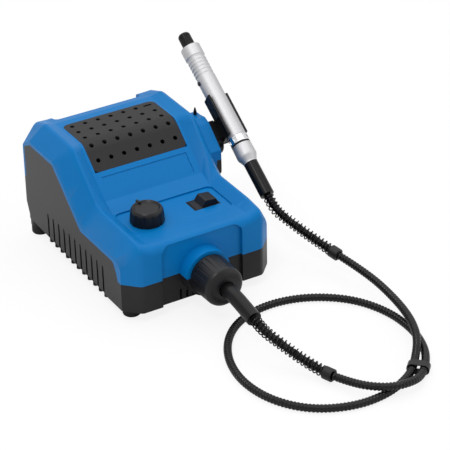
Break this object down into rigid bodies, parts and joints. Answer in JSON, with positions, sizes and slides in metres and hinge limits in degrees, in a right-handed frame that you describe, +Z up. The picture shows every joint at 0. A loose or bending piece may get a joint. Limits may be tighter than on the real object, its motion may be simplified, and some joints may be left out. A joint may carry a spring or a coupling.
{
  "type": "rotary tool with flexible shaft",
  "caption": "Bench drive box with speed knob and switch that turns a handpiece through a flexible shaft; the handpiece rests in a tilting side clip.",
  "frame": {"origin": "on the plane of the feet, under the middle of the housing", "axes": "+X to the handpiece's side, +Y to the back of the housing, +Z up"},
  "size_m": [0.2149, 0.4198, 0.1621],
  "materials": {
    "blue_plastic": "fine satin",
    "dark_plastic": "fine satin",
    "black_plastic": "satin",
    "vent_plastic": "fine grain",
    "rubber": "matt",
    "casing_rubber": "ribbed, satin",
    "spring_steel": "blackened",
    "handpiece_metal": "bead-blasted",
    "polished_metal": "polished",
    "steel": "machined",
    "motor_steel": "plated",
    "magnet": "sintered",
    "lamination": "laminated",
    "copper": "enamelled copper",
    "carbon": "graphite",
    "board": "lacquered"
  },
  "bodies": {
    "housing": {"upper_housing": "blue_plastic", "lower_housing": "dark_plastic", "vent_cover": "vent_plastic", "foot_front_left": "rubber", "foot_front_right": "rubber", "foot_rear_left": "rubber", "foot_rear_right": "rubber", "housing_screws": "steel", "threaded_nose": "dark_plastic", "motor_can": "motor_steel", "motor_end_cap": "black_plastic", "field_magnets": "magnet", "carbon_brushes": "carbon", "motor_front_bearing": "steel", "motor_rear_bearing": "steel", "control_board": "board", "board_components": "steel", "potentiometer": "steel", "potentiometer_nut": "steel", "switch_frame": "black_plastic", "cable_inlet": "black_plastic", "pivot_screw": "steel", "pivot_washer": "steel", "pad_stud": "black_plastic", "shaft_casing_lower": "casing_rubber", "drive_core_lower": "steel", "shaft_spring_drive": "spring_steel", "spring_collar_drive": "black_plastic", "shaft_ferrule_drive": "black_plastic", "shaft_tie": "black_plastic"},
    "speed_knob_body": {"speed_knob": "black_plastic", "potentiometer_shaft": "steel"},
    "rocker": {"switch_rocker": "black_plastic"},
    "rotor": {"armature": "lamination", "armature_windings": "copper", "commutator": "copper", "motor_shaft": "steel", "cooling_fan": "black_plastic", "drive_socket": "steel", "drive_tip": "steel"},
    "nut": {"coupling_nut": "black_plastic"},
    "holder": {"handpiece_clip": "black_plastic"},
    "handpiece": {"handpiece_body": "handpiece_metal", "handpiece_front_bearing": "steel", "handpiece_rear_bearing": "steel", "lock_spring": "steel", "lock_ring": "polished_metal", "o_ring": "rubber", "rear_sleeve": "handpiece_metal", "shaft_ferrule_hand": "black_plastic", "shaft_casing_upper": "casing_rubber", "drive_core_upper": "steel", "shaft_spring_hand": "spring_steel", "spring_collar_hand": "black_plastic"},
    "button": {"lock_button": "black_plastic"},
    "spindle_body": {"spindle": "steel", "spindle_lock_section": "steel", "collet": "steel", "spindle_coupling": "steel"},
    "cap": {"collet_cap": "black_plastic"}
  },
  "joints": [
    {"name": "speed_knob_turn", "type": "hinge", "parent": "housing", "child": "speed_knob_body", "pos_m": [-0.0282, -0.0517, 0.08], "axis": [0, 0, 1], "range_deg": [-195, 105]},
    {"name": "switch_rock", "type": "hinge", "parent": "housing", "child": "rocker", "pos_m": [0.0298, -0.0505, 0.067], "axis": [0, 1, 0], "range_deg": [0, 16]},
    {"name": "motor_spin", "type": "hinge", "parent": "housing", "child": "rotor", "pos_m": [0, -0.03, 0.0365], "axis": [0, -1, 0], "continuous": true},
    {"name": "coupling_nut_turn", "type": "hinge", "parent": "housing", "child": "nut", "pos_m": [0, -0.12, 0.0365], "axis": [0, -1, 0], "range_deg": [0, 180]},
    {"name": "holder_tilt", "type": "hinge", "parent": "housing", "child": "holder", "pos_m": [0.0803, 0.0229, 0.0857], "axis": [1, 0, 0], "range_deg": [-20, 5], "deforming": ["shaft_casing_upper", "drive_core_upper", "shaft_spring_hand", "spring_collar_hand"]},
    {"name": "handpiece_lift", "type": "slide", "parent": "holder", "child": "handpiece", "axis": [0, -0.5628, 0.8266], "range_m": [0, 0.02], "deforming": ["shaft_casing_upper", "drive_core_upper", "shaft_spring_hand", "spring_collar_hand"]},
    {"name": "spindle_spin", "type": "hinge", "parent": "handpiece", "child": "spindle_body", "pos_m": [0.0985, 0.05134, 0.12442], "axis": [0, 0.8266, 0.5628], "continuous": true},
    {"name": "collet_cap_turn", "type": "hinge", "parent": "spindle_body", "child": "cap", "pos_m": [0.0985, 0.09515, 0.15425], "axis": [0, 0.8266, 0.5628], "range_deg": [0, 180]},
    {"name": "lock_button_press", "type": "slide", "parent": "handpiece", "child": "button", "axis": [1, 0, 0], "range_m": [0, 0.0015], "stiffness_N_per_m": 600, "deforming": ["lock_spring"]}
  ],
  "couplings": [
    {"joint": "spindle_spin", "follows": "motor_spin", "ratio": 1}
  ]
}
